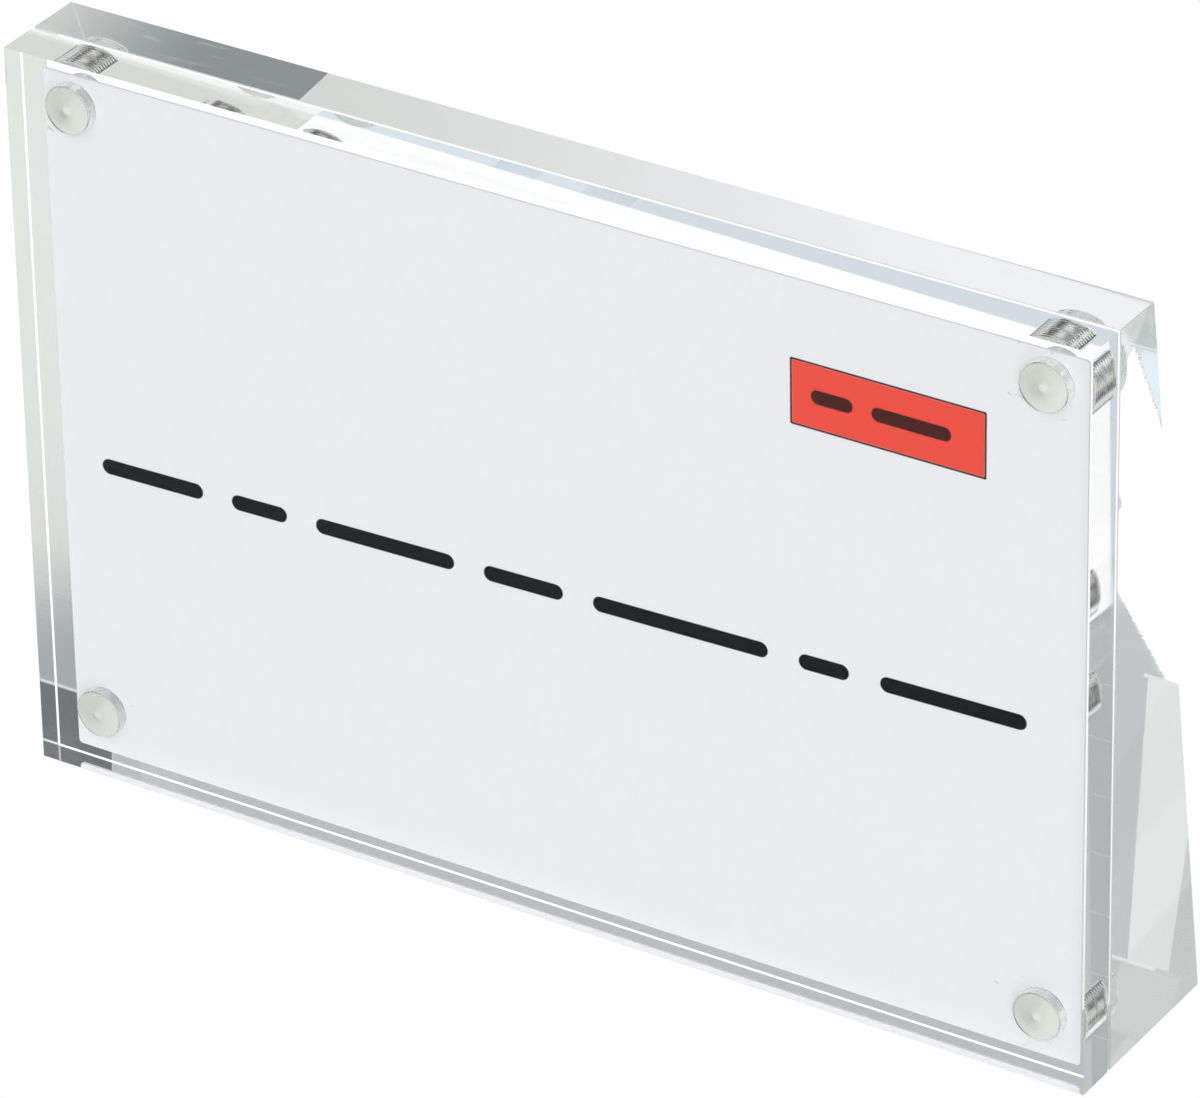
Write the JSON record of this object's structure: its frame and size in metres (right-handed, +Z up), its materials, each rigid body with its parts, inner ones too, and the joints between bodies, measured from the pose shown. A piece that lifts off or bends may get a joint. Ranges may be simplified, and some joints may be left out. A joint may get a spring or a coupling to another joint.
{
  "type": "acrylic sign holder",
  "caption": "Free-standing clear acrylic sign holder: a flat front panel held by corner magnets to a wedge-shaped rear block, gripping a printed card between them.",
  "frame": {"origin": "centre of the footprint, on the surface that the holder stands on", "axes": "+X to the reader's right along the width, +Y from the reader towards the back, +Z up"},
  "size_m": [0.12, 0.0226, 0.08],
  "materials": {
    "acrylic": "polished clear cast acrylic",
    "card": "matt white card",
    "nickel": "nickel plating",
    "adhesive": "cured cloudy adhesive"
  },
  "bodies": {
    "rear_block": {"rear_block": "acrylic", "rear_magnet_top_left": "nickel", "rear_magnet_top_right": "nickel", "rear_magnet_bottom_left": "nickel", "rear_magnet_bottom_right": "nickel", "rear_adhesive_top_left": "adhesive", "rear_adhesive_top_right": "adhesive", "rear_adhesive_bottom_left": "adhesive", "rear_adhesive_bottom_right": "adhesive"},
    "front_panel": {"front_panel": "acrylic", "front_magnet_top_left": "nickel", "front_magnet_top_right": "nickel", "front_magnet_bottom_left": "nickel", "front_magnet_bottom_right": "nickel", "front_adhesive_top_left": "adhesive", "front_adhesive_top_right": "adhesive", "front_adhesive_bottom_left": "adhesive", "front_adhesive_bottom_right": "adhesive"},
    "insert_card": {"insert_card": "card"}
  },
  "joints": [
    {"name": "panel_pull", "type": "slide", "parent": "rear_block", "child": "front_panel", "axis": [0, -1, 0], "range_m": [0, 0.06]},
    {"name": "card_lift", "type": "slide", "parent": "rear_block", "child": "insert_card", "axis": [0, 0, 1], "range_m": [0, 0.09]}
  ]
}
